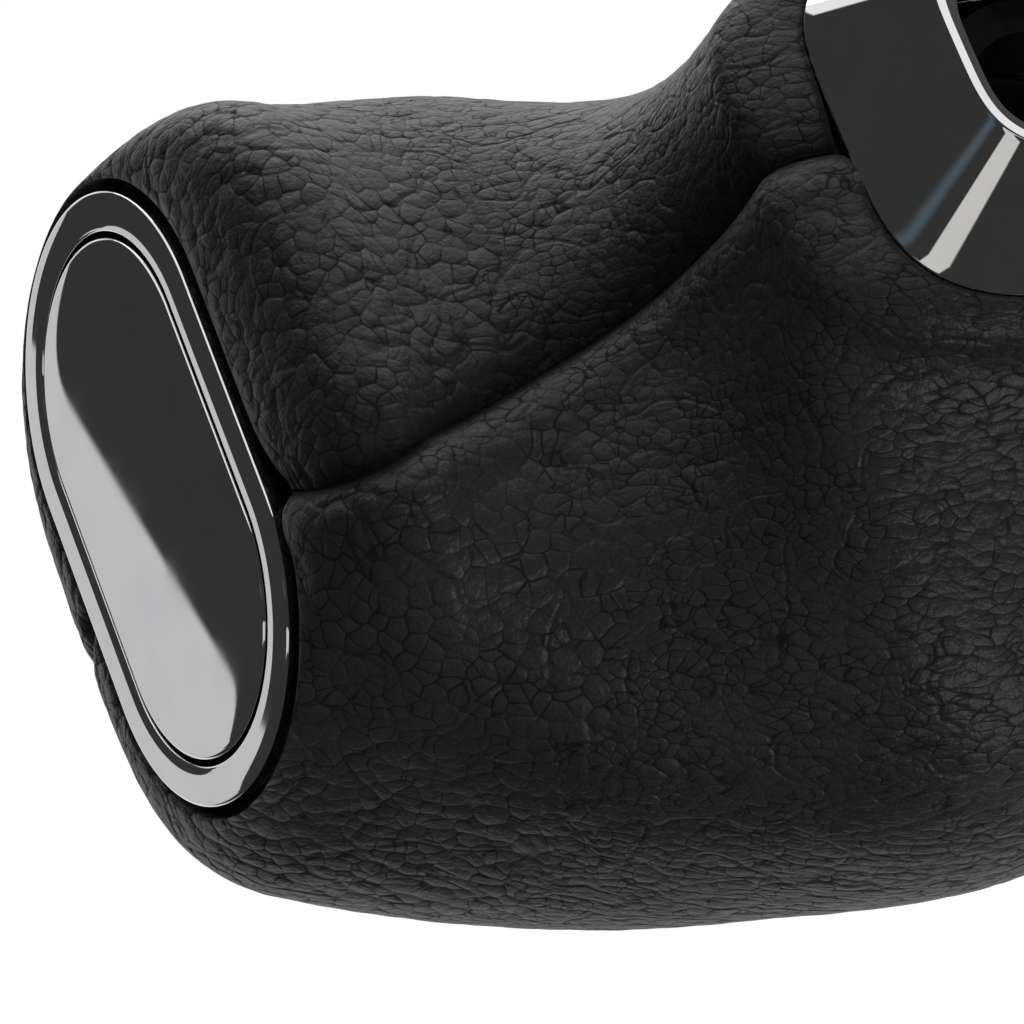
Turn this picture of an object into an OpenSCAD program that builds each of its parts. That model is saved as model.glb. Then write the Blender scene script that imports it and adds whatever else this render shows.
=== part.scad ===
// Gear shift knob: leather-wrapped grip on a tapered chrome collar, thumb release button on the
// driver's side, bell crank and rod inside. Millimetres, +Z up, +X away from the driver,
// +Y forward. Origin: on the lever bore's axis, level with the collar's top edge, where the grip
// meets the collar. The sizes below measure heights from the collar's lower rim.

/* [Bezel and button] */
// Length of the oval bezel
bezel_l = 40; // [34:0.5:46]
// Height of the oval bezel
bezel_h = 25; // [20:0.5:30]
// Width of the bezel's front band
bezel_band = 2.5; // [1.5:0.1:4]
// How far the bezel stands out of its seat
bezel_proud = 0.4; // [0.2:0.1:1]
// Gap all round between bezel and button
button_gap = 0.35; // [0.3:0.05:0.6]
// How far the button stands out past the bezel
button_proud = 0.1; // [0:0.1:0.6]
// Depth of the button cap
button_depth = 9.4; // [7:0.1:9.4]
// Wall of the button cap
button_wall = 1.4; // [1:0.1:2.2]
// Travel of the button
travel = 5; // [2:0.25:5]
// Dark joint between bezel and leather
trench = 1; // [0.5:0.1:1.6]

/* [Grip outline] */
// Bezel centre to neck axis, along X
reach = 45.5; // [42:0.5:50]
// Bezel centre above the collar's rim
rise = 45.5; // [43:0.5:50]
// Bezel centre behind the neck axis
back_set = 2.5; // [0:0.5:4]
// Length of the rounded shoulder around the bezel
shoulder = 7; // [4:0.5:8]
// Fullness of the shoulder's curve
shoulder_full = 2.2; // [2:0.1:3.5]
// Leather face below, above, in front of and behind the bezel's opening
lip = [8.1, 7.3, 2.8, 0.4]; // [0.4:0.1:10]
// Throat radius at 30, 60 and 90 degrees of the bend
throat_r = [15.2, 18, 18]; // [14:0.1:20]
// Crown radius at the same three stations
crown_r = [60.5, 67.8, 55.9]; // [54:0.1:70]
// Front half width at the three stations
front_r = [29.4, 32.1, 14.5]; // [14:0.1:34]
// Rear half width at the three stations
rear_r = [24.7, 18.2, 14.3]; // [14:0.1:28]
// Squareness of the sections at 0, 30, 60 and 90 degrees
square_n = [2.9, 2.4, 2.5, 3.5]; // [2:0.1:4]
// Height of the leather's roll onto the collar
neck_roll = 3; // [2:0.25:4]

/* [Leather] */
// Leather thickness
leather_t = 1.2; // [0.8:0.1:1.6]
// Glue line under the leather
glue = 0.2; // [0.15:0.05:0.4]
// Depth to which the panel edges roll in at a seam
seam_depth = 0.85; // [0.3:0.05:1]
// Width of a rolled panel edge
seam_width = 1.8; // [1:0.1:3]
// Angle of the throat seam from straight down at the bezel, the shoulder and the collar
seam_turn = [33, 21, 2.5]; // [0:0.5:50]

/* [Collar] */
// Half length of the collar's top edge
collar_a = 15.25; // [13:0.25:18]
// Half width of the collar's top edge
collar_b = 12.6; // [11:0.1:15]
// Half length of the lower rim
rim_a = 11; // [10:0.1:14]
// Half width of the lower rim
rim_b = 8; // [8:0.1:11]
// Squareness of the collar
collar_n = 3.9; // [2.5:0.1:6]
// Height of the collar
collar_h = 8; // [6:0.5:12]
// Wall of the collar
collar_wall = 0.9; // [0.7:0.1:1.5]
// Wall of the black liner
liner_wall = 0.7; // [0.6:0.1:1.2]

/* [Lever fit] */
// Bore for the lever
lever_d = 12; // [10:0.5:12.5]
// Outer diameter of the lever insert
insert_d = 16; // [14:0.5:17]
// Height of the insert's top end
insert_top = 20; // [16:0.5:20]
// Wire of the snap ring
ring_wire = 1; // [0.8:0.1:1.2]

/* [Release mechanism] */
// Arm radius of the bell crank
arm_r = 12.025; // [10:0.005:13]
// Diameter of the crank's two drive pins
pin_d = 2.4; // [2:0.1:3]
// Diameter of the crank's axle
axle_d = 3; // [2.5:0.1:4]
// Running clearance of pins and guides
run = 0.1; // [0.05:0.01:0.1]
// Half width of slider stem and rod head
stem_w = 3.5; // [3:0.1:4]
// Half height of the slider stem
stem_h = 3.5; // [3:0.1:4]
// Diameter of the release rod
rod_d = 4; // [3:0.1:5]
// Thickness of each crank cheek
cheek_t = 1.6; // [1.2:0.1:2]
// Wire of the button spring
spring_wire = 0.8; // [0.6:0.1:1]
// Wire of the rod spring
rod_wire = 0.6; // [0.4:0.1:0.8]

/* [Chassis] */
// Half width of the chassis barrel
chassis_w = 11; // [9:0.5:12]
// Half length and width of the chassis foot
foot_w = 10.4; // [10:0.1:11]
// Wall of the chassis head around the bezel skirt
head_wall = 1.1; // [0.9:0.1:1.3]
// Radius of the three screw bosses
boss_r = 3.4; // [3:0.1:4]
// Core diameter of the screws
screw_d = 2.5; // [2:0.1:3]
// Head diameter of the screws
screw_head = 5; // [4:0.1:6]

/* [Hidden] */
$fn = 48;
bx = -reach;
by = -back_set;
bz = rise;
pill_l = (bezel_l - bezel_h) / 2;
bezel_r = bezel_h / 2;
bore_r = bezel_r - bezel_band;
button_r = bore_r - button_gap;
px = bx + shoulder;
pz = collar_h + neck_roll;
open_r = bezel_r + trench;
throat = concat(bz - open_r - lip[0] - pz, throat_r);
crown = concat(bz + open_r + lip[1] - pz, crown_r);
front_w = concat(by + pill_l + open_r + lip[2], front_r);
rear_w = concat(pill_l + open_r + lip[3] - by, rear_r);
// X stations of the button end
x_front = bx - bezel_proud;
x_flange = bx + 2;
x_head = bx + 3;
x_skirt = bx + 11;
x_stop = bx + 14;
x_pad = x_stop + 1;
x_tail = bx + 16.5;
x_face = x_front - button_proud;
skirt_r = bore_r + 0.9;
head_r = skirt_r + head_wall;
gasket_r = bezel_r - 0.1;
cap_r = button_r - button_wall;
x_boss = x_face + button_wall + 4;
// crank pose at rest: half the turn back from the middle of the travel
turn = asin(travel / 2 / arm_r);
crank_x = arm_r * (1 + cos(turn)) / 2;
crank_z = bz - crank_x;
ax = -crank_x - arm_r * sin(turn);
az = crank_z + arm_r * cos(turn);
bpx = -crank_x + arm_r * cos(turn);
bpz = crank_z + arm_r * sin(turn);
hub_r = axle_d / 2 + 1.7;
cheek_y = stem_w + 0.3;
room_w = cheek_y + cheek_t + 0.4;
head_z = bpz - 3.5;
room_z = head_z - travel - 0.6;
room_x = -crank_x - travel / 2 - 3.6;
bush_top = insert_top + 3;
foot_z = collar_h + leather_t;
flange_z = collar_h - 1.2;
ring_z = collar_h + 4;
screws = [[bx + 20.5, bz - 11.5], [bx + 21.5, bz + 9], [10.5, bz - 12.5]];

// four-station curve: v at 0, 1/3, 2/3, 1; it runs out level at the end
function curve(v, u) = let(
    i = min(2, floor(3 * u)), t = 3 * u - i,
    m1 = i == 0 ? v[1] - v[0] : (v[i + 1] - v[i - 1]) / 2,
    m2 = i == 2 ? 0 : (v[i + 2] - v[i]) / 2)
  (1 + 2 * t) * pow(1 - t, 2) * v[i] + t * pow(1 - t, 2) * m1
  + t * t * (3 - 2 * t) * v[i + 1] + t * t * (t - 1) * m2;

// radius of a squarish oval at angle q; b half width (Y), a half height
function oval(a, b, n, q) =
  pow(pow(max(abs(cos(q)), 1e-7) / b, n) + pow(max(abs(sin(q)), 1e-7) / a, n), -1 / n);

// radius of the bezel's opening at angle q
function pill_rad(r, q) = let(s = abs(sin(q)), c = abs(cos(q)), f = r / max(s, 1e-7))
  c * f <= pill_l ? f : pill_l * c + sqrt(max(r * r - pow(pill_l * s, 2), 0));

// the grip's skin, set in by d. t 0..1 shoulder, 1..2 bend, 2..3 roll onto the collar.
// q is the angle in a section: 0 front, 90 crown, 180 rear, 270 throat. The shoulder runs into
// the bend along the slope g that the bend starts with.
function skin(t, q, d = 0) = let(
    u = min(1, max(0, t - 1)), f = 90 * u,
    ri = curve(throat, u), ro = curve(crown, u),
    w0 = cos(q) > 0 ? curve(front_w, u) : curve(rear_w, u),
    r = oval((ro - ri) / 2, w0, curve(square_n, u), q) - d,
    rad = (ri + ro) / 2 + r * sin(q), y = r * cos(q),
    x = px + rad * sin(f), z = pz + rad * cos(f))
  t < 1 ? let(w = pow(max(0, 1 - pow(1 - t, shoulder_full)), 1 / shoulder_full), p = pill_rad(open_r, q),
      yo = by + p * cos(q), zo = bz + p * sin(q), b = skin(1.02, q, d), l = (shoulder - d) * (1 - t),
      gy = (b[1] - y) / (b[0] - x), gz = (b[2] - z) / (b[0] - x))
    [px - l, yo + (y - gy * l - yo) * w, zo + (z - gz * l - zo) * w]
  : t > 2 ? let(v = min(1, t - 2), w = 1 - sqrt(max(0, 1 - v * v)), c = oval(collar_a, collar_b, collar_n, q))
    [x + (c * sin(q) - x) * w, y + (c * cos(q) - y) * w, z - (neck_roll - d) * v]
  : [x, y, z];

// inset of a rolled panel edge at arc distance e from the seam
function roll_in(e) = e >= seam_width ? 0 : seam_depth * pow(1 - e / seam_width, 2);

// the throat seam starts forward of the middle at the bezel and runs out near it at the collar
function seam_q(t) = let(v = min(1, (t - 1) / 0.8))
  -90 + (t < 1 ? seam_turn[0] - (seam_turn[0] - seam_turn[1]) * t
  : seam_turn[1] - (seam_turn[1] - seam_turn[2]) * v * (5 - pow(v, 4)) / 4);
T = [0, 0.01, 0.04, 0.1, 0.2, 0.34, 0.52, 0.75, 1, 1.08, 1.16, 1.24, 1.32, 1.4, 1.48, 1.56, 1.64, 1.72, 1.8, 1.88,
  2, 2.3, 2.55, 2.75, 2.9, 3];
S = [0, 0.012, 0.03, 0.06, 0.12, 0.19, 0.26, 0.33, 0.4, 0.47, 0.53, 0.6, 0.67, 0.74, 0.81, 0.88,
  0.94, 0.97, 0.988, 1];
function arc_of(q0, q1, s) = let(l = abs(q1 - q0) * 0.0175 * 22) min(s, 1 - s) * l;

module panel(side) {
  m = len(S);
  k = len(T);
  top = [for (t = T) let(q0 = side > 0 ? seam_q(t) : 90, q1 = side > 0 ? 90 : 360 + seam_q(t))
    for (s = S) skin(t, q0 + (q1 - q0) * s, roll_in(arc_of(q0, q1, s)))];
  low = [for (t = T) let(q0 = side > 0 ? seam_q(t) : 90, q1 = side > 0 ? 90 : 360 + seam_q(t))
    for (s = S) skin(t, q0 + (q1 - q0) * s, leather_t)];
  n = m * k;
  faces = concat(
    [for (i = [0:k - 2], j = [0:m - 2]) each let(a = i * m + j, b = a + 1, c = a + m + 1, d = a + m)
      [[a, c, b], [a, d, c], [n + a, n + b, n + c], [n + a, n + c, n + d]]],
    [for (j = [0:m - 2]) each let(a = j, b = (k - 1) * m + j)
      [[a, n + a + 1, n + a], [a, a + 1, n + a + 1], [b, n + b + 1, b + 1], [b, n + b, n + b + 1]]],
    [for (i = [0:k - 2]) each let(a = i * m, b = a + m - 1)
      [[a, n + a + m, a + m], [a, n + a, n + a + m], [b, b + m, n + b + m], [b, n + b + m, n + b]]]);
  polyhedron(concat(top, low), faces, convexity = 6);
}

// closed body under the leather, with the panels' own section points
module foam_solid() {
  m = 2 * len(S) - 2;
  k = len(T);
  pts = [for (t = T, j = [0:m - 1]) let(q = seam_q(t), h = len(S) - 1)
    skin(t, j < h ? q + (90 - q) * S[j] : 90 + (270 + q) * S[j - h], leather_t + glue)];
  n = m * k;
  c0 = [bx + leather_t + glue, by, bz];
  c1 = [0, 0, foot_z + glue];
  faces = concat(
    [for (i = [0:k - 2], j = [0:m - 1]) each let(a = i * m + j, b = i * m + (j + 1) % m)
      [[a, b + m, b], [a, a + m, b + m]]],
    [for (j = [0:m - 1]) [j, (j + 1) % m, n]],
    [for (j = [0:m - 1]) let(b = (k - 1) * m) [b + (j + 1) % m, b + j, n + 1]]);
  polyhedron(concat(pts, [c0, c1]), faces, convexity = 6);
}

// upright oval bar along +X from x0, radius r1 to r2, centred on the bezel
module pill(x0, h, r1, r2) {
  translate([x0, by, bz]) {
    for (s = [-1, 1]) translate([0, s * pill_l, 0]) rotate([0, 90, 0]) cylinder(h = h, r1 = r1, r2 = r2);
    rotate([90, 0, 0]) linear_extrude(height = 2 * pill_l, center = true)
      polygon([[0, -r1], [h, -r2], [h, r2], [0, r1]]);
  }
}

// bar with the pill's outline and no taper, in one piece
module bar(x0, h, r) {
  translate([x0, by, bz]) rotate([0, 90, 0]) linear_extrude(height = h) {
    translate([0, pill_l]) circle(r = r);
    translate([0, -pill_l]) circle(r = r);
    square([2 * r, 2 * pill_l], center = true);
  }
}

// brings heights above the collar's lower rim to the part's origin
module seat() {
  translate([0, 0, -collar_h]) children();
}

module box(x0, x1, y, z0, z1) {
  translate([x0, -y, z0]) cube([x1 - x0, 2 * y, z1 - z0]);
}

module ypin(x, z, d, y0, y1) {
  translate([x, y0, z]) rotate([-90, 0, 0]) cylinder(h = y1 - y0, d = d);
}

module chassis_hull() {
  bar(x_head, x_tail - x_head, head_r);
  box(x_tail - 2, 7.5, chassis_w, room_z + 3, bz + 6.5);
  box(-foot_w, foot_w, foot_w, foot_z, room_z + 4);
  for (p = screws) ypin(p[0], p[1], 2 * boss_r, -8, chassis_w);
}

module chassis_room() {
  bar(x_head - 1, x_skirt - x_head + 1, skirt_r);
  bar(x_head - 1, x_pad - x_head + 1, bore_r);
  box(x_pad - 1, room_x + 1, stem_w + run, bz - stem_h - run, bz + stem_h + run);
  box(room_x, 6, room_w, room_z, bz + 5);
  translate([0, 0, foot_z - 1]) cylinder(h = insert_top - foot_z + 1, d = insert_d);
  translate([0, 0, insert_top - 1]) cylinder(h = 3, r = 4);
  translate([0, 0, insert_top + 2]) cylinder(h = room_z - insert_top - 1, r = 5.5);
  ypin(-crank_x, crank_z, axle_d, -9, 9);
  for (p = screws) {
    ypin(p[0], p[1], screw_d, -7, chassis_w);
    ypin(p[0], p[1], screw_head, chassis_w - 1.8, chassis_w + 1);
  }
}

module chassis(side) {
  difference() {
    chassis_hull();
    chassis_room();
    translate([-60, side > 0 ? -40 : 0, 0]) cube([100, 40, 80]);
  }
}

// squarish tapered tube from a list of [z, a, b] outside, then inside
module funnel(rings, n) {
  m = 56;
  k = len(rings);
  pts = [for (r = rings, j = [0:m - 1]) let(q = 360 * j / m, c = oval(r[1], r[2], n, q))
    [c * sin(q), c * cos(q), r[0]]];
  faces = [for (i = [0:k - 1], j = [0:m - 1]) each let(a = i * m + j, b = i * m + (j + 1) % m,
      c = ((i + 1) % k) * m + (j + 1) % m, d = ((i + 1) % k) * m + j) [[a, c, b], [a, d, c]]];
  polyhedron(pts, faces, convexity = 4);
}

// sprung wire along +Z from z = 0, closed length h, as one faceted coil
module coil(r, wire, h, turns) {
  m = 8;
  steps = turns * 18;
  rise = (h - wire) / steps;
  pts = [for (i = [0:steps], j = [0:m - 1]) let(a = 360 * i / 18, q = 360 * j / m,
      e = r + wire / 2 * cos(q)) [e * cos(a), e * sin(a), wire / 2 + rise * i + wire / 2 * sin(q)]];
  n = (steps + 1) * m;
  faces = concat(
    [for (i = [0:steps - 1], j = [0:m - 1]) each let(a = i * m + j, b = i * m + (j + 1) % m)
      [[a, b + m, a + m], [a, b, b + m]]],
    [[for (j = [m - 1:-1:0]) j]], [[for (j = [0:m - 1]) n - m + j]]);
  polyhedron(pts, faces, convexity = 6);
}

module leather_front() {
  color([0.05, 0.05, 0.055]) seat() panel(1);
}

module leather_rear() {
  color([0.06, 0.06, 0.065]) seat() panel(-1);
}

module foam_body() {
  color([0.12, 0.12, 0.12]) seat() difference() {
    foam_solid();
    bar(bx - 2, 5, open_r + 0.1);
    bar(x_head, x_tail - x_head, head_r);
    box(x_tail - 2, 7.5, chassis_w, room_z + 3, bz + 6.5);
    box(-foot_w, foot_w, foot_w, collar_h, room_z + 4);
    for (p = screws) ypin(p[0], p[1], 2 * boss_r, -8, chassis_w);
  }
}

module chassis_front() {
  color([0.16, 0.16, 0.17]) seat() chassis(1);
}

module chassis_rear() {
  color([0.2, 0.2, 0.21]) seat() chassis(-1);
}

module chassis_screws() {
  color([0.6, 0.6, 0.62]) seat() for (p = screws) difference() {
    union() {
      ypin(p[0], p[1], screw_d, -7, chassis_w - 1);
      ypin(p[0], p[1], screw_head, chassis_w - 1.8, chassis_w);
    }
    translate([p[0] - 1.8, chassis_w - 0.8, p[1] - 0.35]) cube([3.6, 1, 0.7]);
    translate([p[0] - 0.35, chassis_w - 0.8, p[1] - 1.8]) cube([0.7, 1, 3.6]);
  }
}

module bezel() {
  color([0.8, 0.8, 0.82]) seat() difference() {
    union() {
      pill(x_front, 0.25, bezel_r - 0.25, bezel_r);
      bar(x_front + 0.25, x_flange - x_front - 0.25, bezel_r);
      bar(x_flange, x_skirt - x_flange, skirt_r);
    }
    bar(x_front - 1, x_skirt - x_front + 2, bore_r);
    pill(x_front - 0.1, 0.35, bore_r + 0.35, bore_r);
  }
}

module bezel_gasket() {
  color([0.03, 0.03, 0.03]) seat() difference() {
    bar(x_flange, x_head - x_flange, gasket_r);
    bar(x_flange - 1, 3, skirt_r);
  }
}

module button_cap() {
  color([0.78, 0.78, 0.8]) seat() difference() {
    union() {
      pill(x_face, 0.25, button_r - 0.25, button_r);
      bar(x_face + 0.25, button_depth - 0.25, button_r);
    }
    bar(x_face + button_wall, button_depth, cap_r);
  }
}

module button_carrier() {
  xe = ax + pin_d / 2 + run + 1.9;
  color([0.85, 0.85, 0.82]) seat() difference() {
    union() {
      bar(x_face + button_wall, 4, cap_r);
      box(x_boss - 1, xe, stem_w, bz - stem_h, bz + stem_h);
    }
    // vertical slot for the crank's upper pin
    ypin(ax, az + 0.6, pin_d + 2 * run, -5, 5);
    ypin(ax, az - 0.4, pin_d + 2 * run, -5, 5);
    box(ax - pin_d / 2 - run, ax + pin_d / 2 + run, 5, az - 0.4, az + 0.6);
    // lightening pocket under the button face
    for (s = [-1, 1]) translate([x_boss - 2.5, by + s * (pill_l + 1.5), bz]) rotate([0, 90, 0])
      cylinder(h = 4, r = 3);
  }
}

module button_spring() {
  color([0.7, 0.7, 0.72]) seat() translate([x_boss, 0, bz]) rotate([0, 90, 0])
    coil(6, spring_wire, x_stop - x_boss, 4);
}

module stop_pad() {
  color([0.08, 0.08, 0.08]) seat() difference() {
    bar(x_stop, x_pad - x_stop, bore_r);
    bar(x_stop - 1, 3, cap_r - 0.6);
  }
}

module arm(x0, z0, x1, z1, w) {
  l = norm([x1 - x0, z1 - z0]);
  translate([x0, 0, z0]) rotate([0, -atan2(z1 - z0, x1 - x0), 0]) translate([0, 0, -w / 2])
    cube([l, cheek_t, w]);
}

module bell_crank() {
  color([0.75, 0.72, 0.62]) seat() difference() {
    union() {
      for (s = [-cheek_y - cheek_t, cheek_y]) translate([0, s, 0]) {
        arm(-crank_x, crank_z, ax, az, 4.4);
        arm(-crank_x, crank_z, bpx, bpz, 4.4);
        ypin(ax, az, 4.8, 0, cheek_t);
        ypin(bpx, bpz, 4.8, 0, cheek_t);
        ypin(-crank_x, crank_z, 2 * hub_r, 0, cheek_t);
      }
      ypin(-crank_x, crank_z, 2 * hub_r, -cheek_y, cheek_y);
      ypin(ax, az, pin_d, -cheek_y, cheek_y);
      ypin(bpx, bpz, pin_d, -cheek_y, cheek_y);
    }
    ypin(-crank_x, crank_z, axle_d + run, -9, 9);
  }
}

module crank_pin() {
  color([0.65, 0.65, 0.68]) seat() ypin(-crank_x, crank_z, axle_d, -9, 9);
}

module release_rod() {
  color([0.7, 0.7, 0.74]) seat() difference() {
    union() {
      box(-4.4, 4.4, stem_w, head_z, bpz + 3.5);
      translate([0, 0, insert_top - 0.8]) cylinder(h = head_z - insert_top + 1, d = rod_d);
    }
    // level slot for the crank's lower pin
    for (s = [-0.5, 0.5]) ypin(s, bpz, pin_d + 2 * run, -5, 5);
    box(-0.5, 0.5, 5, bpz - pin_d / 2 - run, bpz + pin_d / 2 + run);
  }
}

module rod_spring() {
  color([0.7, 0.7, 0.72]) seat() translate([0, 0, bush_top]) coil(3.2, rod_wire, head_z - bush_top, 4);
}

module guide_bush() {
  color([0.72, 0.58, 0.3]) seat() difference() {
    union() {
      translate([0, 0, insert_top - 1]) cylinder(h = 3, r = 4);
      translate([0, 0, insert_top + 2]) cylinder(h = 1, r = 5.4);
    }
    translate([0, 0, insert_top - 2]) cylinder(h = 6, r = rod_d / 2 + 0.08);
  }
}

module lever_insert() {
  color([0.09, 0.09, 0.095]) seat() difference() {
    translate([0, 0, flange_z]) cylinder(h = insert_top - flange_z, d = insert_d);
    translate([0, 0, flange_z - 1]) cylinder(h = insert_top - flange_z - 0.5, d = lever_d);
    translate([0, 0, insert_top - 2]) cylinder(h = 3, r = 4.1);
    translate([0, 0, flange_z - 0.5]) cylinder(h = 1.1, d1 = lever_d + 2.2, d2 = lever_d);
    translate([0, 0, ring_z - ring_wire / 2 - 0.05])
      cylinder(h = ring_wire + 0.1, r = lever_d / 2 + ring_wire + 0.15);
  }
}

module snap_ring() {
  color([0.75, 0.75, 0.78]) seat() translate([0, 0, ring_z]) rotate([0, 0, 30]) rotate_extrude(angle = 300)
    translate([lever_d / 2 + 0.1 + ring_wire / 2, 0]) circle(d = ring_wire, $fn = 24);
}

module collar() {
  t = collar_wall;
  color([0.82, 0.82, 0.84]) seat() difference() {
    funnel([[collar_h, collar_a, collar_b], [collar_h - 0.5, collar_a, collar_b],
      [collar_h - 0.9, collar_a - 0.15, collar_b - 0.15], [0.35, rim_a - 0.05, rim_b - 0.05],
      [0, rim_a - 0.3, rim_b - 0.3], [0, rim_a - t, rim_b - t], [flange_z, collar_a - t - 0.6, collar_b - t - 0.6],
      [flange_z, 7, 7], [foot_z, 7, 7], [foot_z, collar_a - 0.25, collar_b - 0.25],
      [collar_h, collar_a - 0.25, collar_b - 0.25]], collar_n);
    translate([0, 0, flange_z - 1]) cylinder(h = 6, d = insert_d);
  }
}

module collar_liner() {
  g = collar_wall + 0.15;
  w = g + liner_wall;
  color([0.02, 0.02, 0.02]) seat() funnel([[flange_z, collar_a - g - 0.6, collar_b - g - 0.6],
    [0.7, rim_a - g, rim_b - g], [0.7, rim_a - w, rim_b - w],
    [flange_z, collar_a - w - 0.6, collar_b - w - 0.6]], collar_n);
}

leather_front();
leather_rear();
foam_body();
chassis_front();
chassis_rear();
chassis_screws();
bezel();
bezel_gasket();
button_cap();
button_carrier();
button_spring();
stop_pad();
bell_crank();
crank_pin();
release_rod();
rod_spring();
guide_bush();
lever_insert();
snap_ring();
collar();
collar_liner();
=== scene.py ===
import bmesh
import bpy
import numpy as np
from mathutils import Matrix


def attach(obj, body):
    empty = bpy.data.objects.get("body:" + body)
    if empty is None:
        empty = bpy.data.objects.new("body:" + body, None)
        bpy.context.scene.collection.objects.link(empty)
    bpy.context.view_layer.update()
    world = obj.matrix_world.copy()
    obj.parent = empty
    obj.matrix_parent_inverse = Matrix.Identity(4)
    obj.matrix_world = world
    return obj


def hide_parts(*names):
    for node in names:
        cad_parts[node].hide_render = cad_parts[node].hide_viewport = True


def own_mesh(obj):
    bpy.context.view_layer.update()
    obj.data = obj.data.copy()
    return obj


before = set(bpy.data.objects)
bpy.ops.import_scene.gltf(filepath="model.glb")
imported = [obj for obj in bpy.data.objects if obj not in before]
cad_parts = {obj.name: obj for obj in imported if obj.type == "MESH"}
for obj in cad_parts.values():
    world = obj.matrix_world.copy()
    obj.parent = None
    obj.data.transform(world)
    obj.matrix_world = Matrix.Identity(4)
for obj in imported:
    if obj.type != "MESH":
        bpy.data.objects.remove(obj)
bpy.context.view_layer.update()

MM = 0.001

# sizes in mm; heights are from the collar's lower rim
REACH, RISE, BACK = 45.5, 45.5, 2.5
BX, BY, BZ = -REACH, -BACK, RISE              # middle of the button's opening
SHOULDER, FULL = 7.0, 2.2                     # length and roundness of the shoulder behind the bezel
COLLAR_H, ROLL = 8.0, 3.0                     # collar's height, and the leather's roll onto it
PX, PZ = BX + SHOULDER, COLLAR_H + ROLL       # line that the fan of sections turns about
PILL = 7.5                                    # half the straight part of the bezel's pill outline
BEZEL_R, BORE_R, BUTTON_R = 12.5, 10.0, 9.65  # half circles of the pill outlines
OPEN_R = 13.25                                # the same of the leather's opening round the bezel
THROAT = (12.9, 15.2, 18, 18)                 # four stations of the fan: throat from its line,
CROWN = (55.3, 60.5, 67.8, 55.9)              # crown from its line,
FRONT = (21.3, 29.4, 32.1, 14.5)              # half widths to the front
REAR = (23.9, 24.7, 18.2, 14.3)               # and to the rear,
SQUARE = (2.9, 2.4, 2.5, 3.5)                 # and how squarish the section is
COLLAR = (15.25, 12.6, 3.9)                   # top edge: half length, half width, squareness
RIM = (11.0, 8.0)                             # lower rim: half length, half width
LEATHER = 1.2                                 # thickness
SEAM_TURN = (33.0, 21.0, 2.5)                 # throat seam forward of the middle, degrees
SEAM_GAP = 0.25                               # each panel's edge from its seam, degrees
PROUD, CAP_PROUD = 0.4, 0.1                   # bezel before its opening, cap before the bezel
CAP_DEPTH, CAP_WALL = 9.4, 1.4

# camera and studio: picture and focal length in pixels, camera's distance and sensor in mm
PICTURE, FOCAL, DISTANCE, SENSOR = 1024, 8265, 500, 36
AIM = (21.45, -0.91)                          # picture's middle from the button's, mm right and up
FLOOR_HALF, FLOOR_Z = 0.8, -0.62              # m
KNOB_MIDDLE = (-0.01, 0, 0.035)               # m
# pixels: two on the border of the bright wedge on the button, one in the wedge, and one in the
# middle of the button
WEDGE_TOP, WEDGE_LOW, WEDGE_IN, BUTTON_AT = (65, 395), (247, 697), (100, 600), (150, 500)


# node helpers
class Graph:
    """A node tree that is wired by short calls."""

    def __init__(self, tree):
        self.tree = tree
        tree.nodes.clear()

    def add(self, kind, **props):
        node = self.tree.nodes.new(kind)
        for key, value in props.items():
            setattr(node, key, value)
        return node

    def put(self, node, **values):
        """Sets or links inputs by name, or by number as i0, i1 and so on."""
        for key, value in values.items():
            name = key.replace("_", " ")
            socket = node.inputs[name if name in node.inputs else int(key[1:])]
            if isinstance(value, bpy.types.NodeSocket):
                self.tree.links.new(value, socket)
            else:
                socket.default_value = value
        return node

    def math(self, op, a, b=0.0, c=0.0):
        node = self.put(self.add("ShaderNodeMath", operation=op), i0=a, i1=b)
        if op == "MULTIPLY_ADD":
            self.put(node, i2=c)
        return node.outputs[0]

    def ramp(self, value, lo, hi, to0=0.0, to1=1.0):
        """Smooth step from to0 to to1 as value goes from lo to hi."""
        node = self.add("ShaderNodeMapRange", interpolation_type="SMOOTHSTEP")
        self.put(node, Value=value, From_Min=lo, From_Max=hi, To_Min=to0, To_Max=to1)
        return node.outputs["Result"]

    def mix(self, factor, a, b):
        """Colour between a and b."""
        node = self.put(self.add("ShaderNodeMix", data_type="RGBA"), i0=factor, i6=a, i7=b)
        return node.outputs[2]

    def noise(self, vector, scale, detail=2.0, rough=0.5, output="Fac"):
        node = self.add("ShaderNodeTexNoise")
        return self.put(node, Vector=vector, Scale=scale, Detail=detail, Roughness=rough).outputs[output]

    def cells(self, vector, scale, jitter=1.0, feature="F1"):
        node = self.add("ShaderNodeTexVoronoi", feature=feature)
        return self.put(node, Vector=vector, Scale=scale, Randomness=jitter)

    def vec(self, op, a, b=(0, 0, 0), scale=1.0):
        node = self.add("ShaderNodeVectorMath", operation=op)
        self.put(node, i0=a)
        if op == "SCALE":
            self.put(node, Scale=scale)
        elif op != "NORMALIZE":
            self.put(node, i1=b)
        return node.outputs["Value" if op == "DOT_PRODUCT" else "Vector"]

    def bump(self, height, distance, strength=1.0, normal=None):
        node = self.add("ShaderNodeBump")
        self.put(node, Height=height, Distance=distance, Strength=strength)
        if normal is not None:
            self.put(node, Normal=normal)
        return node.outputs["Normal"]


def finish(name, build, **fixed):
    """New material: build(graph, shader) wires what varies, fixed holds the constant sockets."""
    mat = bpy.data.materials.new(name)
    mat.use_nodes = True
    g = Graph(mat.node_tree)
    out = g.add("ShaderNodeOutputMaterial")
    bsdf = g.add("ShaderNodeBsdfPrincipled")
    g.put(out, Surface=bsdf.outputs[0])
    for key, value in fixed.items():
        bsdf.inputs[key.replace("_", " ")].default_value = value
    build(g, bsdf)
    return mat


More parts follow.
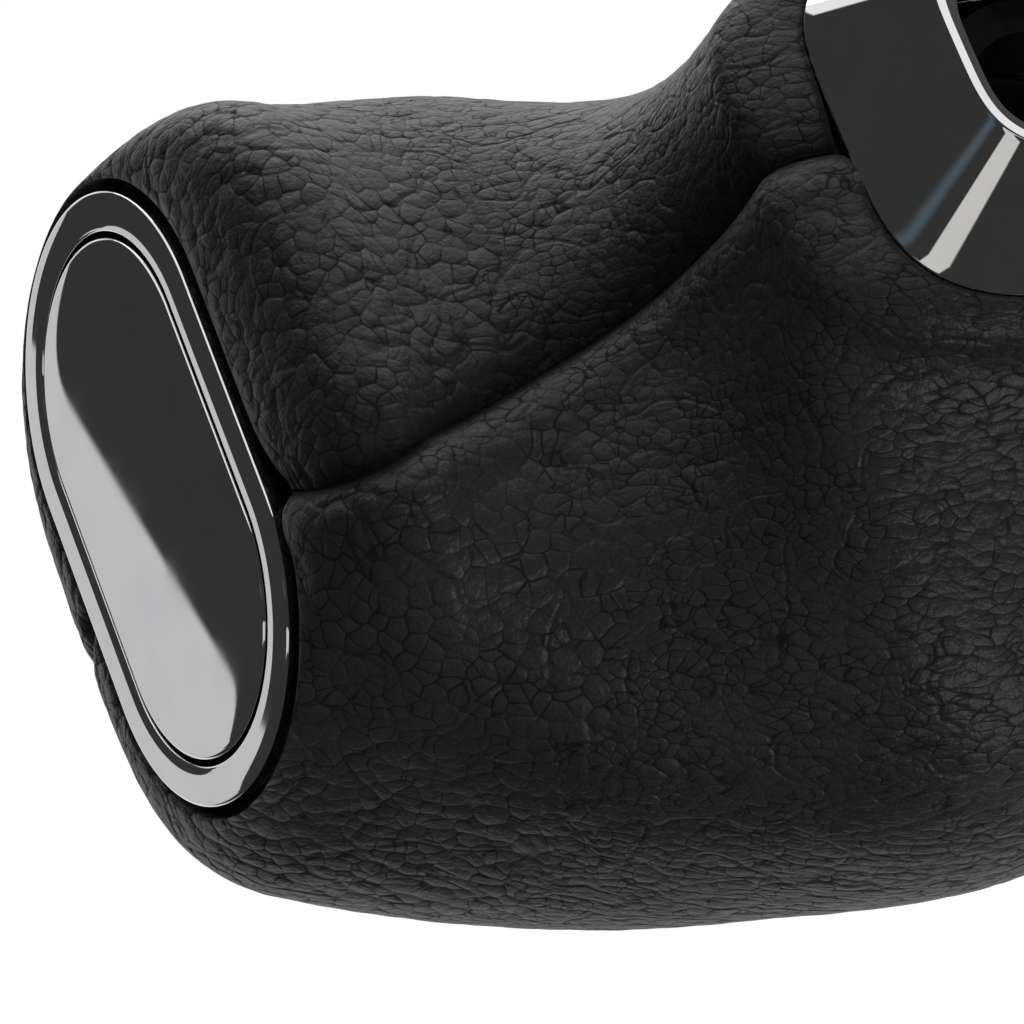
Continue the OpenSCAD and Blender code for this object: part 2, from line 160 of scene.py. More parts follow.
def object_mm(g):
    """Object coordinates in millimetres."""
    tex = g.add("ShaderNodeTexCoord")
    return g.vec("SCALE", tex.outputs["Object"], scale=1 / MM)


# materials
def leather_flow(g, p):
    """Coordinates for the leather's cells. X is taken at 0.92 near the bezel and eases to 0.39 past
    the bend, where the cells get longer; a slow drift bends their rows; and they are larger near
    the bezel, up to a wandering border."""
    bend_x, bend_ease, pace, pull = -27.0, 36.0, 0.66, -0.27
    border_x, border_wander = -22.0, 16.0
    apart = g.add("ShaderNodeSeparateXYZ")
    g.put(apart, Vector=p)
    x, y, z = apart.outputs
    from_bend = g.math("SUBTRACT", x, bend_x)
    pulled = g.math("SQRT", g.math("MULTIPLY_ADD", from_bend, from_bend, bend_ease))
    join = g.add("ShaderNodeCombineXYZ")
    g.put(join, X=g.math("MULTIPLY_ADD", pulled, pull, g.math("MULTIPLY", x, pace)), Y=y, Z=z)
    drift = g.vec("SUBTRACT", g.noise(p, 0.55, 0.0, output="Color"), (0.5, 0.5, 0.5))
    flow = g.vec("ADD", join.outputs[0], g.vec("SCALE", drift, scale=0.8))
    border = g.math("MULTIPLY_ADD", g.noise(p, 0.25, 1.0), border_wander, x)
    beyond = g.math("GREATER_THAN", border, border_x)
    return g.vec("SCALE", flow, scale=g.math("MULTIPLY_ADD", beyond, 0.4, 0.6))


def leather_look(g, bsdf):
    """Cells with thin creases. Each cell's normal leans away from its own middle, more so
    beside a crease, which gives it a domed face. A finer grain, long wrinkles and pores lie over
    that. The creases and wrinkles are painted darker as shade, and painted shade makes the leather over the
    throat seam, where it folds, dark and dull."""
    cell_scale, cell_jitter, grain_scale = 1.38, 0.9, 3.3
    stretch = (0.6, 1.0, 1.0)
    dark, pale = (0.0145, 0.0138, 0.0160, 1), (0.0185, 0.0176, 0.0198, 1)
    # painted shade: darker colours for the grain's creases and wrinkles, and for the leather folded over the
    # throat seam
    crease_shade_tint, fold_shade_tint = (0.0045, 0.0042, 0.0050, 1), (0.002, 0.002, 0.0024, 1)
    p = object_mm(g)
    flow = leather_flow(g, p)
    where = g.ramp(g.noise(p, 0.09, 0.0), 0.36, 0.64)
    depth = g.ramp(g.noise(p, 0.42, 0.0), 0.34, 0.60)
    middle = g.cells(flow, cell_scale, cell_jitter).outputs["Position"]
    rim = g.cells(flow, cell_scale, cell_jitter, "DISTANCE_TO_EDGE").outputs["Distance"]
    grain = g.cells(flow, grain_scale).outputs["Position"]
    long_wave = g.math("ABSOLUTE", g.math("SUBTRACT", g.noise(flow, 0.33, 0.0), 0.5))
    # 1 on a cell's face, less in its creases and along a wrinkle
    crease = g.math("MULTIPLY", g.ramp(rim, 0.0, 0.085, 0.8, 0.0), g.ramp(depth, 0.0, 1.0, 0.5, 1.0))
    groove = g.math("MULTIPLY", g.math("SUBTRACT", 1.0, crease), g.ramp(long_wave, 0.0, 0.016, 0.65, 1.0))
    # normal
    lean = g.math("MULTIPLY", g.ramp(rim, 0.02, 0.30, 0.90, 0.30), g.ramp(depth, 0.0, 1.0, 0.65, 1.0))
    away = g.vec("SCALE", g.vec("MULTIPLY", g.vec("SUBTRACT", flow, middle), stretch), scale=lean)
    small = g.vec("SCALE", g.vec("SUBTRACT", flow, grain), scale=g.ramp(where, 0.0, 1.0, 0.62, 0.45))
    face = g.add("ShaderNodeNewGeometry").outputs["Normal"]
    normal = g.vec("NORMALIZE", g.vec("ADD", face, g.vec("ADD", away, small)))
    pores = g.noise(p, 4.0, 1.0, 0.65)
    height = g.math("MULTIPLY_ADD", pores, 0.8, g.ramp(long_wave, 0.0, 0.05))
    # colour and shine
    fold_shade = g.add("ShaderNodeAttribute", attribute_name="fold_shade").outputs["Fac"]
    # painted shade: the creases and wrinkles take a darker colour in place of the shade that falls in them
    tint = g.mix(groove, crease_shade_tint, g.mix(where, dark, pale))
    # painted shade: the leather folded over the throat seam is darkened here, and its shine is lowered on the
    # next line
    tint = g.mix(g.math("MULTIPLY", fold_shade, 0.75), tint, fold_shade_tint)
    shine = g.math("MULTIPLY", g.ramp(groove, 0.0, 1.0, 0.12, 0.42), g.math("MULTIPLY_ADD", fold_shade, -0.75, 1.0))
    rough = g.math("MULTIPLY_ADD", pores, 0.16, g.ramp(groove, 0.0, 1.0, 0.60, 0.42))
    g.put(bsdf, Base_Color=tint, Roughness=rough, Specular_IOR_Level=shine,
          Normal=g.bump(height, 9e-5, 0.8, normal))


def chrome_look(g, bsdf):
    """Mirror with a faint haze."""
    p = object_mm(g)
    haze = g.noise(p, 0.22, 3.0)
    speck = g.noise(p, 9.0, 2.0, 0.7)
    rough = g.math("MULTIPLY_ADD", g.ramp(haze, 0.4, 0.75), 0.008, 0.008)
    tone = g.mix(g.ramp(haze, 0.35, 0.7), (0.82, 0.82, 0.83, 1), (0.78, 0.785, 0.80, 1))
    g.put(bsdf, Base_Color=tone, Roughness=rough, Normal=g.bump(speck, 2e-8, 0.3))


def plastic(name, base, pale, pore, depth, rough, **fixed):
    """Moulded surface: cloudy between two colours, with pores whose roughness varies."""
    def build(g, bsdf):
        p = object_mm(g)
        cloud = g.noise(p, 0.3, 3.0)
        grain = g.noise(p, pore, 4.0, 0.6)
        g.put(bsdf, Base_Color=g.mix(g.ramp(cloud, 0.35, 0.65), (*base, 1), (*pale, 1)),
              Roughness=g.ramp(grain, 0.3, 0.7, *rough), Normal=g.bump(grain, depth, 0.6))
    return finish(name, build, **fixed)


def metal(name, base, dark):
    """Metal with fine turning lines."""
    def build(g, bsdf):
        line = g.noise(g.vec("MULTIPLY", object_mm(g), (1, 1, 12)), 1.6, 4.0, 0.65)
        cloud = g.noise(object_mm(g), 0.25, 2.0)
        g.put(bsdf, Base_Color=g.mix(g.ramp(cloud, 0.35, 0.7), (*base, 1), (*dark, 1)),
              Roughness=g.ramp(line, 0.3, 0.7, 0.2, 0.34), Normal=g.bump(line, 1.2e-5, 0.5))
    return finish(name, build, Metallic=1.0)


def foam_look(g, bsdf):
    """Black foam with small bubbles."""
    p = object_mm(g)
    bubble = g.cells(p, 1.6)
    cloud = g.noise(p, 0.12, 3.0)
    tone = g.mix(g.ramp(cloud, 0.3, 0.7), (0.030, 0.030, 0.031, 1), (0.022, 0.022, 0.023, 1))
    g.put(bsdf, Base_Color=tone, Normal=g.bump(bubble.outputs["Distance"], 2e-4, 0.7))


LEATHER_MAT = finish("black_leather", leather_look, Specular_IOR_Level=0.42, Sheen_Weight=0.05,
                     Sheen_Roughness=0.45)
CHROME = finish("bright_chrome", chrome_look, Metallic=1.0)
GLOSS = plastic("gloss_black", (0.004, 0.004, 0.0045), (0.006, 0.006, 0.0065),
                pore=1.2, depth=1e-5, rough=(0.08, 0.16), Specular_IOR_Level=0.5)
RUBBER = plastic("black_rubber", (0.012, 0.012, 0.012), (0.018, 0.018, 0.018),
                 pore=4.0, depth=5e-5, rough=(0.62, 0.8))
CHASSIS = plastic("chassis_plastic", (0.035, 0.035, 0.038), (0.05, 0.05, 0.053),
                  pore=5.0, depth=3e-5, rough=(0.42, 0.58))
ACETAL = plastic("natural_acetal", (0.62, 0.6, 0.54), (0.68, 0.66, 0.6),
                 pore=2.0, depth=1e-5, rough=(0.32, 0.42))
SOCKET = plastic("socket_plastic", (0.012, 0.012, 0.013), (0.02, 0.02, 0.021),
                 pore=5.0, depth=3e-5, rough=(0.35, 0.5))
STEEL = metal("plain_steel", (0.56, 0.56, 0.58), (0.46, 0.46, 0.48))
BRASS = metal("turned_brass", (0.72, 0.52, 0.24), (0.6, 0.42, 0.18))
FOAM = finish("grip_foam", foam_look, Roughness=0.85)


# mesh helpers
def surface(name, pts, mat, close_u=False, close_v=False, flip=False, caps=()):
    """Quad mesh over a grid pts[nu, nv, 3] in mm, with heights from the collar's lower rim.
    caps: 'start' or 'end' fan the first or last row."""
    nu, nv = pts.shape[:2]
    ids = np.arange(nu * nv).reshape(nu, nv)
    if close_u:
        ids = np.vstack([ids, ids[:1]])
    if close_v:
        ids = np.hstack([ids, ids[:, :1]])
    quads = np.stack([ids[:-1, :-1], ids[1:, :-1], ids[1:, 1:], ids[:-1, 1:]], -1).reshape(-1, 4)
    if flip:
        quads = quads[:, ::-1]
    pts = pts - np.array([0, 0, COLLAR_H])
    verts = pts.reshape(-1, 3)
    loops = quads.ravel()
    counts = np.full(len(quads), 4)
    for cap in caps:
        row = ids[0] if cap == "start" else ids[-1]
        row = row[:-1] if close_v else row
        centre = len(verts)
        verts = np.vstack([verts, pts.reshape(-1, 3)[row].mean(0)])
        a, b = row, np.roll(row, -1)
        tris = np.stack([a, b, np.full(len(a), centre)], -1)
        if (cap == "end") != flip:
            tris = tris[:, ::-1]
        loops = np.concatenate([loops, tris.ravel()])
        counts = np.concatenate([counts, np.full(len(tris), 3)])
    mesh = bpy.data.meshes.new(name)
    mesh.vertices.add(len(verts))
    mesh.vertices.foreach_set("co", (verts * MM).astype(np.float32).ravel())
    mesh.loops.add(len(loops))
    mesh.loops.foreach_set("vertex_index", loops.astype(np.int32))
    mesh.polygons.add(len(counts))
    starts = np.concatenate([[0], np.cumsum(counts)[:-1]])
    mesh.polygons.foreach_set("loop_start", starts.astype(np.int32))
    mesh.polygons.foreach_set("loop_total", counts.astype(np.int32))
    mesh.update(calc_edges=True)
    mesh.validate()
    mesh.polygons.foreach_set("use_smooth", np.ones(len(mesh.polygons), bool))
    obj = bpy.data.objects.new(name, mesh)
    bpy.context.scene.collection.objects.link(obj)
    mesh.materials.append(mat)
    return obj


def soft(x):
    """Smooth step over 0..1."""
    c = np.clip(x, 0, 1)
    return c * c * (3 - 2 * c)


def curve(v, u):
    """Cubic through four stations at 0, 1/3, 2/3, 1 that runs out level at the end."""
    v = np.asarray(v, float)
    i = np.minimum(2, np.floor(3 * u)).astype(int)
    t = 3 * u - i
    m1 = np.where(i == 0, v[1] - v[0], (v[i + 1] - v[np.maximum(i - 1, 0)]) / 2)
    m2 = np.where(i == 2, 0, (v[np.minimum(i + 2, 3)] - v[i]) / 2)
    return ((1 + 2 * t) * (1 - t) ** 2 * v[i] + t * (1 - t) ** 2 * m1
            + t * t * (3 - 2 * t) * v[i + 1] + t * t * (t - 1) * m2)


def oval(a, b, n, q):
    """Radius at angle q of a squarish oval: |cos/b|^n + |sin/a|^n = r^-n."""
    c, s = np.maximum(abs(np.cos(q)), 1e-7), np.maximum(abs(np.sin(q)), 1e-7)
    return ((c / b) ** n + (s / a) ** n) ** (-1 / n)


def pill_radius(r, q):
    """Polar radius of two half circles of radius r joined by straights."""
    s, c = abs(np.sin(q)), abs(np.cos(q))
    f = r / np.maximum(s, 1e-7)
    return np.where(c * f <= PILL, f, PILL * c + np.sqrt(np.maximum(r * r - (PILL * s) ** 2, 0)))


def skin(t, q, d=0.0):
    """The grip's skin set in by d: t 0..1 shoulder, 1..2 fan of squarish ovals turning about the
    throat, 2..3 quarter-round roll onto the collar; q angle in a section, 0 front, 90 deg crown.
    The shoulder leaves the bend along the slope that the bend starts with."""
    t, q = np.broadcast_arrays(np.asarray(t, float), np.asarray(q, float))
    first, last = t < 1, t > 2
    # fan
    u = np.clip(t - 1, 0, 1)
    f = u * np.pi / 2
    ri, ro = curve(THROAT, u), curve(CROWN, u)
    wide = np.where(np.cos(q) > 0, curve(FRONT, u), curve(REAR, u))
    r = oval((ro - ri) / 2, wide, curve(SQUARE, u), q) - d
    rad = (ri + ro) / 2 + r * np.sin(q)
    y = r * np.cos(q)
    x, z = PX + rad * np.sin(f), PZ + rad * np.cos(f)
    # shoulder: from the opening yo, zo to the fan, whose slope it takes up
    tt = np.clip(t, 0, 1)
    w = np.clip(1 - (1 - tt) ** FULL, 0, 1) ** (1 / FULL)
    p = pill_radius(OPEN_R, q)
    yo, zo = BY + p * np.cos(q), BZ + p * np.sin(q)
    gap = (SHOULDER - d) * (1 - tt)
    if first.any():
        on = skin(np.where(first, 1.02, 1.5), q, d)
        run = np.where(first, on[..., 0] - x, 1.0)
        gy, gz = (on[..., 1] - y) / run, (on[..., 2] - z) / run
    else:
        gy = gz = 0.0
    # roll: from the fan's last section to the collar's oval
    v = np.clip(t - 2, 0, 1)
    w2 = 1 - np.sqrt(np.clip(1 - v * v, 0, 1))
    c = oval(*COLLAR, q)
    X = np.where(first, PX - gap, np.where(last, x + (c * np.sin(q) - x) * w2, x))
    Y = np.where(first, yo + (y - gy * gap - yo) * w, np.where(last, y + (c * np.cos(q) - y) * w2, y))
    Z = np.where(first, zo + (z - gz * gap - zo) * w, np.where(last, z - (ROLL - d) * v, z))
    return np.stack([X, Y, Z], -1)


def seam_angle(t):
    """Angle of the throat seam: forward of the middle at the bezel, near it at the collar."""
    a, b, c = SEAM_TURN
    v = np.clip((t - 1) / 0.8, 0, 1)
    return np.radians(-90 + np.where(t < 1, a - (a - b) * t, b - (b - c) * v * (5 - v ** 4) / 4))


def dip(e, reach, power=2):
    """1 at an edge, falling to 0 where the distance e from it equals reach."""
    return np.clip(1 - e / reach, 0, 1) ** power


def worley(p, seed, size):
    """First and second distances, in 3-D, to jittered points on a grid of the given cell size."""
    count, spread = 4099, np.array([73, 1201, 389])
    table = np.random.default_rng(seed).random((count, 3))
    cell = np.floor(p / size).astype(int)
    best, second = np.full(p.shape[:-1], 1e9), np.full(p.shape[:-1], 1e9)
    for step in np.ndindex(3, 3, 3):
        near = cell + np.array(step) - 1
        off = table[(near @ spread) % count]
        dist = np.linalg.norm((near + off) * size - p, axis=-1)
        second = np.minimum(second, np.maximum(best, dist))
        best = np.minimum(best, dist)
    return best, second


def rolled_in(side, e_throat, e_crown, run):
    """How far a panel's skin is set in at its edges, given the distances from them. The front
    panel rolls in sharply beside a low swell at the throat seam, the rear one far and gently, and
    the corner where the throat seam meets the bezel is turned in further."""
    if side > 0:
        roll = 0.95 * dip(e_throat, 1.7) - 0.28 * np.exp(-((e_throat - 2.5) / 1.2) ** 2)
    else:
        roll = 1.06 * dip(e_throat, 6.0, 2.4)
    roll = roll + 0.9 * dip(e_crown, 1.8)
    size = 1.6
    corner = np.hypot(np.clip(size - e_throat, 0, None), np.clip(size - run, 0, None)) / size
    return np.clip(roll + 0.5 * np.clip(corner - 0.8, 0, 1), -0.3, LEATHER - 0.12)


def pebbling(base, side):
    """Soft pebbles in two sizes, a little longer along X."""
    height = 0
    for seed, size, high, wide in ((5, 2.0, 0.045, 0.5), (11, 4.6, 0.02, 0.9)):
        f1, f2 = worley(base * np.array([0.72, 1, 1]), seed + side, size)
        height = height + high * (1 - np.exp(-((f2 - f1) / wide) ** 2))
    return height


def run_along(pts, axis):
    """Distance run along a grid's lines from their start."""
    steps = np.linalg.norm(np.diff(pts, axis=axis), axis=2)
    start = np.zeros_like(np.take(steps, [0], axis))
    return np.concatenate([start, np.cumsum(steps, axis)], axis)


def leather_panel(name, side):
    """Panel between the throat seam and the crown seam, the front one for side 1 and the rear one
    for side -1: a pebbled outer skin with rolled edges over a plain one a leather's thickness in."""
    n = 1.0
    t = np.concatenate([np.linspace(0, 1, int(34 * n))[:-1] ** 1.8, np.linspace(1, 2, int(210 * n))[:-1],
                        3 - np.linspace(1, 0, int(44 * n)) ** 1.3])
    s = np.linspace(-1, 1, int(150 * n))
    s = 0.5 + 0.5 * np.sign(s) * (0.25 * abs(s) + 0.75 * (1 - (1 - abs(s)) ** 1.5))
    gap = np.radians(SEAM_GAP)
    lo, hi = seam_angle(t), np.full(len(t), np.pi / 2)
    if side < 0:
        lo, hi = hi, seam_angle(t) + 2 * np.pi
    q = (lo + gap)[:, None] + ((hi - lo) - 2 * gap)[:, None] * s[None]
    t = t[:, None]
    base = skin(t, q)
    along, run = run_along(base, 1), run_along(base, 0)
    rest = along[:, -1:] - along
    e_throat, e_crown = (along, rest) if side > 0 else (rest, along)
    fade = soft(e_throat / 1.2) * soft(e_crown / 1.2) * soft(run / 1.0)
    roll = rolled_in(side, e_throat, e_crown, run)
    outer = skin(t, q, roll + (0.10 - pebbling(base, side)) * fade)
    inner = skin(t, q, LEATHER)
    # one closed shell: outer skin, then inner skin reversed, joined along all four edges
    loop = np.concatenate([outer, inner[:, ::-1]], 1)
    mid = [np.concatenate([m, m[::-1]]) for m in (0.5 * (outer[i] + inner[i]) for i in (0, -1))]
    loop = np.concatenate([mid[0][None], loop, mid[1][None]], 0)
    obj = surface(name, loop, LEATHER_MAT, close_v=True, flip=side > 0)
    # how deep a point lies where the leather folds over the seam, widest in the bend of the neck;
    # painted shade makes the leather darker and duller there
    reach = 1.3 + 3.2 * np.exp(-((t - 1.7) / 0.55) ** 2) if side < 0 else 0.4
    fold_shade = np.exp(-(e_throat / reach) ** 2)
    fold_shade = np.concatenate([fold_shade, fold_shade[:, ::-1]], 1)[[0, *range(len(t)), -1]]
    # painted shade: this attribute tells the leather's material where to paint the seam's shade
    depth = obj.data.attributes.new("fold_shade", "FLOAT", "POINT")
    depth.data.foreach_set("value", fold_shade.astype(np.float32).ravel())
    return weld(obj)


def weld(obj):
    """Merges the doubled points along closed edges, then turns every face outwards."""
    bm = bmesh.new()
    bm.from_mesh(obj.data)
    bmesh.ops.remove_doubles(bm, verts=bm.verts, dist=1e-7)
    bmesh.ops.recalc_face_normals(bm, faces=bm.faces)
    bm.to_mesh(obj.data)
    bm.free()
    obj.data.polygons.foreach_set("use_smooth", np.ones(len(obj.data.polygons), bool))
    obj.data.update()
    return obj


def fillet(points, radius, n=6):
    """Closed profile with each corner cut back by its radius and joined by a quadratic blend."""
    pts = np.asarray(points, float)
    radius = np.broadcast_to(radius, len(pts))
    out = []
    for i in range(len(pts)):
        a, b, c = pts[i - 1], pts[i], pts[(i + 1) % len(pts)]
        r = min(radius[i], 0.45 * np.linalg.norm(a - b), 0.45 * np.linalg.norm(c - b))
        if r < 1e-4:
            out.append(b)
            continue
        p = b + (a - b) / np.linalg.norm(a - b) * r
        s = b + (c - b) / np.linalg.norm(c - b) * r
        w = np.linspace(0, 1, n)[:, None]
        out.extend((1 - w) ** 2 * p + 2 * w * (1 - w) * b + w * w * s)
    return np.array(out)


def dense(profile, step):
    """Closed profile with long runs divided so that none is over the step."""
    out = []
    for a, b in zip(profile, np.roll(profile, -1, 0)):
        m = max(1, int(np.ceil(np.linalg.norm(b - a) / step)))
        out.extend(a + (b - a) * np.arange(m)[:, None] / m)
    return np.array(out)


def pill_rings(x, r, squeeze=1.0, n=160):
    """Rings of the bezel's pill outline at depths x, with half circles of radius r; squeeze
    shortens the straight parts."""
    a = np.linspace(-np.pi / 2, np.pi / 2, n // 2)
    side = np.repeat([1.0, -1.0], n // 2)[:, None]
    ang = np.concatenate([a, a + np.pi])[:, None]
    return np.stack([np.broadcast_to(x, (n, len(r))), BY + side * PILL * squeeze + r * np.cos(ang),
                     BZ + r * np.sin(ang)], -1)


def pill_sweep(name, profile, mat):
    """Closed profile (x, r) carried round the bezel's pill outline."""
    return weld(surface(name, pill_rings(*profile.T), mat, close_u=True, close_v=True))


def funnel(name, profile, mat, n=224):
    """Closed profile (z, a, b) carried round the collar's squarish oval."""
    q = np.linspace(0, 2 * np.pi, n, endpoint=False)
    r = oval(profile[:, 1][None], profile[:, 2][None], COLLAR[2], q[:, None])
    z = np.broadcast_to(profile[:, 0], r.shape)
    pts = np.stack([r * np.sin(q)[:, None], r * np.cos(q)[:, None], z], -1)
    return weld(surface(name, pts, mat, close_u=True, close_v=True))


def coil(name, mat, radius, wire, length, start, along_x=False):
    """Round wire on a helix whose end turns close up; it stands along Z, or lies along X."""
    m, turns = 12, 4
    n = turns * 40
    a = np.linspace(0, 2 * np.pi * turns, n)
    k = a / (2 * np.pi)
    ease = soft(k / 0.9) * 0.5 + soft((k - (turns - 0.9)) / 0.9) * 0.5
    mid = np.clip((k - 0.45) / (turns - 0.9), 0, 1)
    z = wire / 2 + (length - wire) * (0.12 * ease + 0.88 * mid)
    e = np.linspace(0, 2 * np.pi, m, endpoint=False)
    r = radius + wire / 2 * np.cos(e)[None]
    pts = np.stack([r * np.cos(a)[:, None], r * np.sin(a)[:, None],
                    z[:, None] + wire / 2 * np.sin(e)[None]], -1)
    if along_x:
        pts = pts[..., [2, 1, 0]] * np.array([1, 1, -1])
    pts = pts + np.array(start)
    return weld(surface(name, pts, mat, close_v=True, caps=("start", "end")))


# pieces
def place(obj, node, body="grip"):
    """Puts a piece in a node's stead and on its body."""
    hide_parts(node)
    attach(obj, body)


place(leather_panel("leather_panel_front", 1), "leather_front")
place(leather_panel("leather_panel_rear", -1), "leather_rear")

# the bezel is a flange with a tube behind it, and the gasket lies round the tube
front, flange_back, gasket_back, tube_end = BX - PROUD, BX + 2, BX + 3, BX + 11
tube_r, gasket_r = 10.9, 12.4
corners = [(front, BORE_R), (front, BEZEL_R), (flange_back, BEZEL_R), (flange_back, tube_r),
           (tube_end, tube_r), (tube_end, BORE_R)]
profile = dense(fillet(corners, [0.24, 0.26, 0.2, 0.1, 0.2, 0.2], 9), 0.8)
place(pill_sweep("bezel_ring", profile, CHROME), "bezel")

corners = [(flange_back, tube_r), (flange_back, gasket_r), (gasket_back, gasket_r), (gasket_back, tube_r)]
profile = dense(fillet(corners, 0.2), 1.0)
place(pill_sweep("bezel_gasket_ring", profile, RUBBER), "bezel_gasket")


def button_cap():
    """Cap whose flat face falls off by r^16 at its edge: rings of the pill outline from the skirt over
    a small round at the rim to the middle, then the inner shell back to the skirt. The straight part
    shrinks with the root of r."""
    lin = np.linspace
    crown, edge, inner = 0.01, 0.26, BUTTON_R - CAP_WALL
    flat = BX - PROUD - CAP_PROUD + crown
    under = flat + CAP_WALL
    end = flat + CAP_DEPTH
    turn = lin(0, 1, 9) * np.pi / 2
    fall = 1 - lin(0, 1, 40)[1:] ** 1.6
    x = np.concatenate([[end], lin(end - 0.4, flat + 0.6, 8), flat + edge - edge * np.sin(turn),
                        flat - crown * (1 - fall ** 16), np.full(8, under),
                        lin(under + 0.4, end - 0.4, 6), [end]])
    r = np.concatenate([[BUTTON_R - 0.2], np.full(8, BUTTON_R), BUTTON_R - edge * (1 - np.cos(turn)),
                        (BUTTON_R - edge) * fall, inner * lin(0, 1, 8), np.full(6, inner), [inner + 0.35]])
    pts = pill_rings(x, r, np.clip(r / 2.0, 0, 1) ** 0.5)
    return weld(surface("button_face", pts, CHROME, close_u=True, close_v=True))


place(button_cap(), "button_cap", "button")

# the collar tapers straight from its top edge to the rim, and a web near its top reaches in to the
# lever's mouth; each corner is a height, a half length and a half width
top, rim, mouth = np.array(COLLAR[:2]), np.array(RIM), np.array([8.3, 8.1])
wall, web_z, web_top, slip, ease = 0.72, 6.8, 9.2, 0.25, 0.6
corners = [(COLLAR_H, *top), (COLLAR_H - 0.15, *top), (0.2, *(rim - 0.02)), (0, *(rim - 0.12)),
           (0, *(rim - wall)), (web_z, *(top - wall - ease)), (web_z, *mouth), (web_top, *mouth),
           (web_top, *(top - slip)), (COLLAR_H, *(top - slip))]
profile = dense(fillet(corners, [0.05, 0.12, 0.1, 0.1, 0.15, 0.2, 0.1, 0.1, 0.2, 0.02], 7), 0.7)
place(funnel("neck_collar", profile, CHROME), "collar")

outside, inside, liner_z = wall + 0.12, 1.75, 0.7
corners = [(web_z, *(top - outside - ease)), (liner_z, *(rim - outside)), (liner_z, *(rim - inside)),
           (web_z, *(top - inside - ease))]
profile = dense(fillet(corners, 0.12), 0.7)
place(funnel("collar_sleeve", profile, GLOSS), "collar_liner")

# each spring is wound from a fixed start and given a mesh of its own
boss, seat_x = BX - PROUD - CAP_PROUD + 5.4, BX + 14
spring = coil("button_return_spring", STEEL, radius=6.0, wire=0.8, length=seat_x - boss,
              start=(boss, 0, BZ), along_x=True)
place(spring, "button_spring")
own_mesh(spring)
seat_z, rod_len = 23.0, 9.6
spring = coil("rod_return_spring", STEEL, radius=3.2, wire=0.6, length=rod_len, start=(0, 0, seat_z))
place(spring, "rod_spring")
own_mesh(spring)

NODE_FINISH = {
    "foam_body": FOAM, "chassis_front": CHASSIS, "chassis_rear": CHASSIS, "chassis_screws": STEEL,
    "button_carrier": ACETAL, "stop_pad": RUBBER, "bell_crank": ACETAL, "crank_pin": STEEL,
    "release_rod": STEEL, "guide_bush": BRASS, "lever_insert": SOCKET, "snap_ring": STEEL,
}
for node_name, mat in NODE_FINISH.items():
    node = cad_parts[node_name]
    for part in (node if isinstance(node, (list, tuple)) else [node]):
        if not part.material_slots:
            part.data.materials.append(mat)
        for slot in part.material_slots:
            slot.material = mat

# camera: where the part's Y and -Z axes point in the photo, as (right, up, toward)
along_y = np.array([0.328, -0.8265, 0.457])
down_z = np.array([0.357, 0.557, 0.750])
along_y /= np.linalg.norm(along_y)
down_z -= along_y * (along_y @ down_z)
down_z /= np.linalg.norm(down_z)
right, up, toward = np.stack([-np.cross(along_y, down_z), along_y, -down_z], 1)


def stand(obj, x, y, z, at):
    """Puts an object at a place with the given axes, and links it."""
    bpy.context.scene.collection.objects.link(obj)
    obj.matrix_world = Matrix(np.vstack([np.stack([x, y, z, at], 1), [0, 0, 0, 1]]).tolist())


bezel_at = np.array([BX, BY, BZ - COLLAR_H]) * MM
cam_data = bpy.data.cameras.new("photo_camera")
cam_data.sensor_width = SENSOR
cam_data.lens = SENSOR * FOCAL / PICTURE
cam_data.clip_start, cam_data.clip_end = 0.01, 20
cam = bpy.data.objects.new("photo_camera", cam_data)
stand(cam, right, up, toward, bezel_at + (AIM[0] * right + AIM[1] * up + DISTANCE * toward) * MM)
bpy.context.scene.camera = cam

# floor and light
floor_mesh = bpy.data.meshes.new("studio_floor")
corners = [(FLOOR_HALF * x, FLOOR_HALF * y, FLOOR_Z) for x, y in ((-1, -1), (1, -1), (1, 1), (-1, 1))]
floor_mesh.from_pydata(corners, [], [(0, 1, 2, 3)])
floor = bpy.data.objects.new("studio_floor", floor_mesh)
bpy.context.scene.collection.objects.link(floor)


def floor_look(g, bsdf):
    cloud = g.noise(object_mm(g), 0.01, 3.0)
    g.put(bsdf, Base_Color=g.mix(cloud, (0.80, 0.80, 0.79, 1), (0.84, 0.84, 0.83, 1)))


floor_mesh.materials.append(finish("pale_floor", floor_look, Roughness=0.9))
floor.visible_glossy = False


def unit(v):
    """The same direction with length 1."""
    v = np.asarray(v, float)
    return v / np.linalg.norm(v)


def reflected(x, y):
    """Direction in which the button's flat face sends the view through image point x, y."""
    d = (x - PICTURE / 2) / FOCAL * right - (y - PICTURE / 2) / FOCAL * up - toward
    return unit(d * np.array([-1, 1, 1]))


world = bpy.data.worlds.new("light_tent")
bpy.context.scene.world = world
world.use_nodes = True
g = Graph(world.node_tree)
direction = g.add("ShaderNodeTexCoord").outputs["Generated"]
path = g.add("ShaderNodeLightPath")
facing = g.vec("DOT_PRODUCT", direction, tuple(toward))
along_right = g.vec("DOT_PRODUCT", direction, tuple(right))
along_up = g.vec("DOT_PRODUCT", direction, tuple(up))
# mirror light: bright behind and over the object, dark flags on the camera side
mirror = g.math("MAXIMUM", g.ramp(facing, -0.58, -0.70), g.ramp(along_up, 0.68, 0.692))
mirror = g.math("MAXIMUM", g.math("MULTIPLY", mirror, 0.95), 0.036)
edge = unit(np.cross(reflected(*WEDGE_TOP), reflected(*WEDGE_LOW)))
if edge @ reflected(*WEDGE_IN) < 0:
    edge = -edge
near = g.vec("DOT_PRODUCT", direction, tuple(reflected(*BUTTON_AT)))
wedge = g.ramp(g.vec("DOT_PRODUCT", direction, tuple(edge)), -0.0003, 0.0006, 0.036, 0.60)
mirror = g.mix(g.ramp(near, 0.955, 0.975), mirror, wedge)
